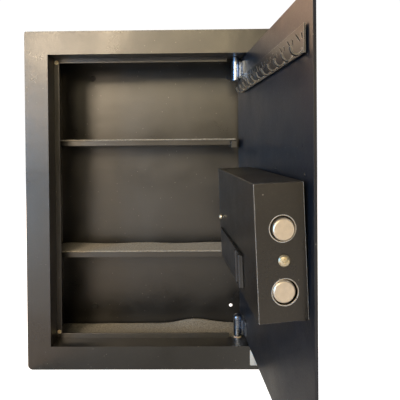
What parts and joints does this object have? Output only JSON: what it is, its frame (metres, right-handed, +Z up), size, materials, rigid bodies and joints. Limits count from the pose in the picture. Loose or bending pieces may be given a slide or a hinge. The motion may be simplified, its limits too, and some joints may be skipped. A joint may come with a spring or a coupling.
{
  "type": "wall safe",
  "caption": "Recessed wall safe with a flanged steel cabinet, two shelves with felt mats and a swinging plate door carrying two bolts, a keypad, an override lock and a key rack.",
  "frame": {"origin": "centre of the cabinet's flat outer back face", "axes": "+X to the right seen from the room, +Y into the wall, +Z up"},
  "size_m": [0.388, 0.3475, 0.511],
  "materials": {
    "black_powder_coat": "fine-textured black powder coat",
    "grey_felt": "thin grey needle felt",
    "chrome": "bright nickel and chrome plate",
    "zinc_plate": "yellow-tinted zinc plate",
    "cream_nylon": "natural nylon",
    "black_plastic": "satin moulded plastic",
    "button_rubber": "matte silicone rubber",
    "circuit_board": "solder-masked glass epoxy",
    "cell_sleeve": "plain shrink sleeve"
  },
  "bodies": {
    "cabinet": {"cabinet_body": "black_powder_coat", "front_frame": "black_powder_coat", "stop_frame": "black_powder_coat", "bolt_keeper": "black_powder_coat", "upper_shelf": "black_powder_coat", "lower_shelf": "black_powder_coat", "upper_shelf_mat": "grey_felt", "lower_shelf_mat": "grey_felt", "floor_mat": "grey_felt", "shelf_rail_left": "black_powder_coat", "upper_shelf_bracket": "black_powder_coat", "lower_shelf_bracket": "black_powder_coat", "hinge_bracket_top": "black_powder_coat", "hinge_bracket_bottom": "black_powder_coat", "hinge_pin_top": "chrome", "hinge_pin_bottom": "chrome", "hinge_bush_top": "chrome", "hinge_bush_bottom": "cream_nylon", "door_bumper_upper": "cream_nylon", "door_bumper_lower": "cream_nylon", "anchor_plug_1": "black_plastic", "anchor_plug_2": "black_plastic", "anchor_plug_3": "black_plastic"},
    "door": {"door_plate": "black_powder_coat", "hinge_barrel_top": "chrome", "hinge_barrel_bottom": "chrome", "key_rack": "black_powder_coat", "lock_case": "black_powder_coat", "case_screw_front": "zinc_plate", "case_screw_side": "chrome", "battery_tray": "black_plastic", "circuit_board": "circuit_board", "solenoid_body": "zinc_plate", "battery_1": "cell_sleeve", "battery_2": "cell_sleeve", "battery_3": "cell_sleeve", "battery_4": "cell_sleeve", "key_cylinder": "chrome", "keypad_bezel": "black_plastic"},
    "bolt_work": {"bolt_upper": "chrome", "bolt_lower": "chrome", "bolt_bar": "zinc_plate"},
    "knob": {"knob": "chrome", "knob_spindle": "zinc_plate"},
    "solenoid_plunger": {"solenoid_plunger": "chrome"},
    "key_plug": {"key_plug": "zinc_plate"},
    "key_cover": {"key_cover": "black_plastic"},
    "battery_cover": {"battery_cover": "black_plastic"},
    "keypad_button_1": {"keypad_button_1": "button_rubber"},
    "keypad_button_2": {"keypad_button_2": "button_rubber"},
    "keypad_button_3": {"keypad_button_3": "button_rubber"},
    "keypad_button_4": {"keypad_button_4": "button_rubber"},
    "keypad_button_5": {"keypad_button_5": "button_rubber"},
    "keypad_button_6": {"keypad_button_6": "button_rubber"},
    "keypad_button_7": {"keypad_button_7": "button_rubber"},
    "keypad_button_8": {"keypad_button_8": "button_rubber"},
    "keypad_button_9": {"keypad_button_9": "button_rubber"},
    "keypad_button_10": {"keypad_button_10": "button_rubber"},
    "keypad_button_11": {"keypad_button_11": "button_rubber"},
    "keypad_button_12": {"keypad_button_12": "button_rubber"}
  },
  "joints": [
    {"name": "door_swing", "type": "hinge", "parent": "cabinet", "child": "door", "pos_m": [0.126, -0.0668, 0], "axis": [0, 0, 1], "range_deg": [-96.3, 3.7]},
    {"name": "knob_turn", "type": "hinge", "parent": "door", "child": "knob", "pos_m": [0.16777, -0.2629, 0.024], "axis": [0.994, 0.1097, 0], "range_deg": [0, 90]},
    {"name": "bolt_slide", "type": "slide", "parent": "door", "child": "bolt_work", "axis": [0.1097, -0.994, 0], "range_m": [0, 0.022]},
    {"name": "plunger_slide", "type": "slide", "parent": "door", "child": "solenoid_plunger", "axis": [0, 0, 1], "range_m": [0, 0.005]},
    {"name": "key_turn", "type": "hinge", "parent": "door", "child": "key_plug", "pos_m": [0.16379, -0.26334, -0.036], "axis": [0.994, 0.1097, 0], "range_deg": [0, 90]},
    {"name": "key_cover_swing", "type": "hinge", "parent": "door", "child": "key_cover", "pos_m": [0.16479, -0.26323, -0.0235], "axis": [0.994, 0.1097, 0], "range_deg": [0, 120]},
    {"name": "battery_cover_slide", "type": "slide", "parent": "door", "child": "battery_cover", "axis": [-0.1097, 0.994, 0], "range_m": [0, 0.008]},
    {"name": "button_1_press", "type": "slide", "parent": "door", "child": "keypad_button_1", "axis": [-0.994, -0.1097, 0], "range_m": [0, 0.0012], "stiffness_N_per_m": 300},
    {"name": "button_2_press", "type": "slide", "parent": "door", "child": "keypad_button_2", "axis": [-0.994, -0.1097, 0], "range_m": [0, 0.0012], "stiffness_N_per_m": 300},
    {"name": "button_3_press", "type": "slide", "parent": "door", "child": "keypad_button_3", "axis": [-0.994, -0.1097, 0], "range_m": [0, 0.0012], "stiffness_N_per_m": 300},
    {"name": "button_4_press", "type": "slide", "parent": "door", "child": "keypad_button_4", "axis": [-0.994, -0.1097, 0], "range_m": [0, 0.0012], "stiffness_N_per_m": 300},
    {"name": "button_5_press", "type": "slide", "parent": "door", "child": "keypad_button_5", "axis": [-0.994, -0.1097, 0], "range_m": [0, 0.0012], "stiffness_N_per_m": 300},
    {"name": "button_6_press", "type": "slide", "parent": "door", "child": "keypad_button_6", "axis": [-0.994, -0.1097, 0], "range_m": [0, 0.0012], "stiffness_N_per_m": 300},
    {"name": "button_7_press", "type": "slide", "parent": "door", "child": "keypad_button_7", "axis": [-0.994, -0.1097, 0], "range_m": [0, 0.0012], "stiffness_N_per_m": 300},
    {"name": "button_8_press", "type": "slide", "parent": "door", "child": "keypad_button_8", "axis": [-0.994, -0.1097, 0], "range_m": [0, 0.0012], "stiffness_N_per_m": 300},
    {"name": "button_9_press", "type": "slide", "parent": "door", "child": "keypad_button_9", "axis": [-0.994, -0.1097, 0], "range_m": [0, 0.0012], "stiffness_N_per_m": 300},
    {"name": "button_10_press", "type": "slide", "parent": "door", "child": "keypad_button_10", "axis": [-0.994, -0.1097, 0], "range_m": [0, 0.0012], "stiffness_N_per_m": 300},
    {"name": "button_11_press", "type": "slide", "parent": "door", "child": "keypad_button_11", "axis": [-0.994, -0.1097, 0], "range_m": [0, 0.0012], "stiffness_N_per_m": 300},
    {"name": "button_12_press", "type": "slide", "parent": "door", "child": "keypad_button_12", "axis": [-0.994, -0.1097, 0], "range_m": [0, 0.0012], "stiffness_N_per_m": 300}
  ],
  "couplings": [
    {"joint": "knob_turn", "follows": "bolt_slide", "rad_per_m": 71.399},
    {"joint": "plunger_slide", "follows": "bolt_slide", "ratio": 0.2272}
  ]
}
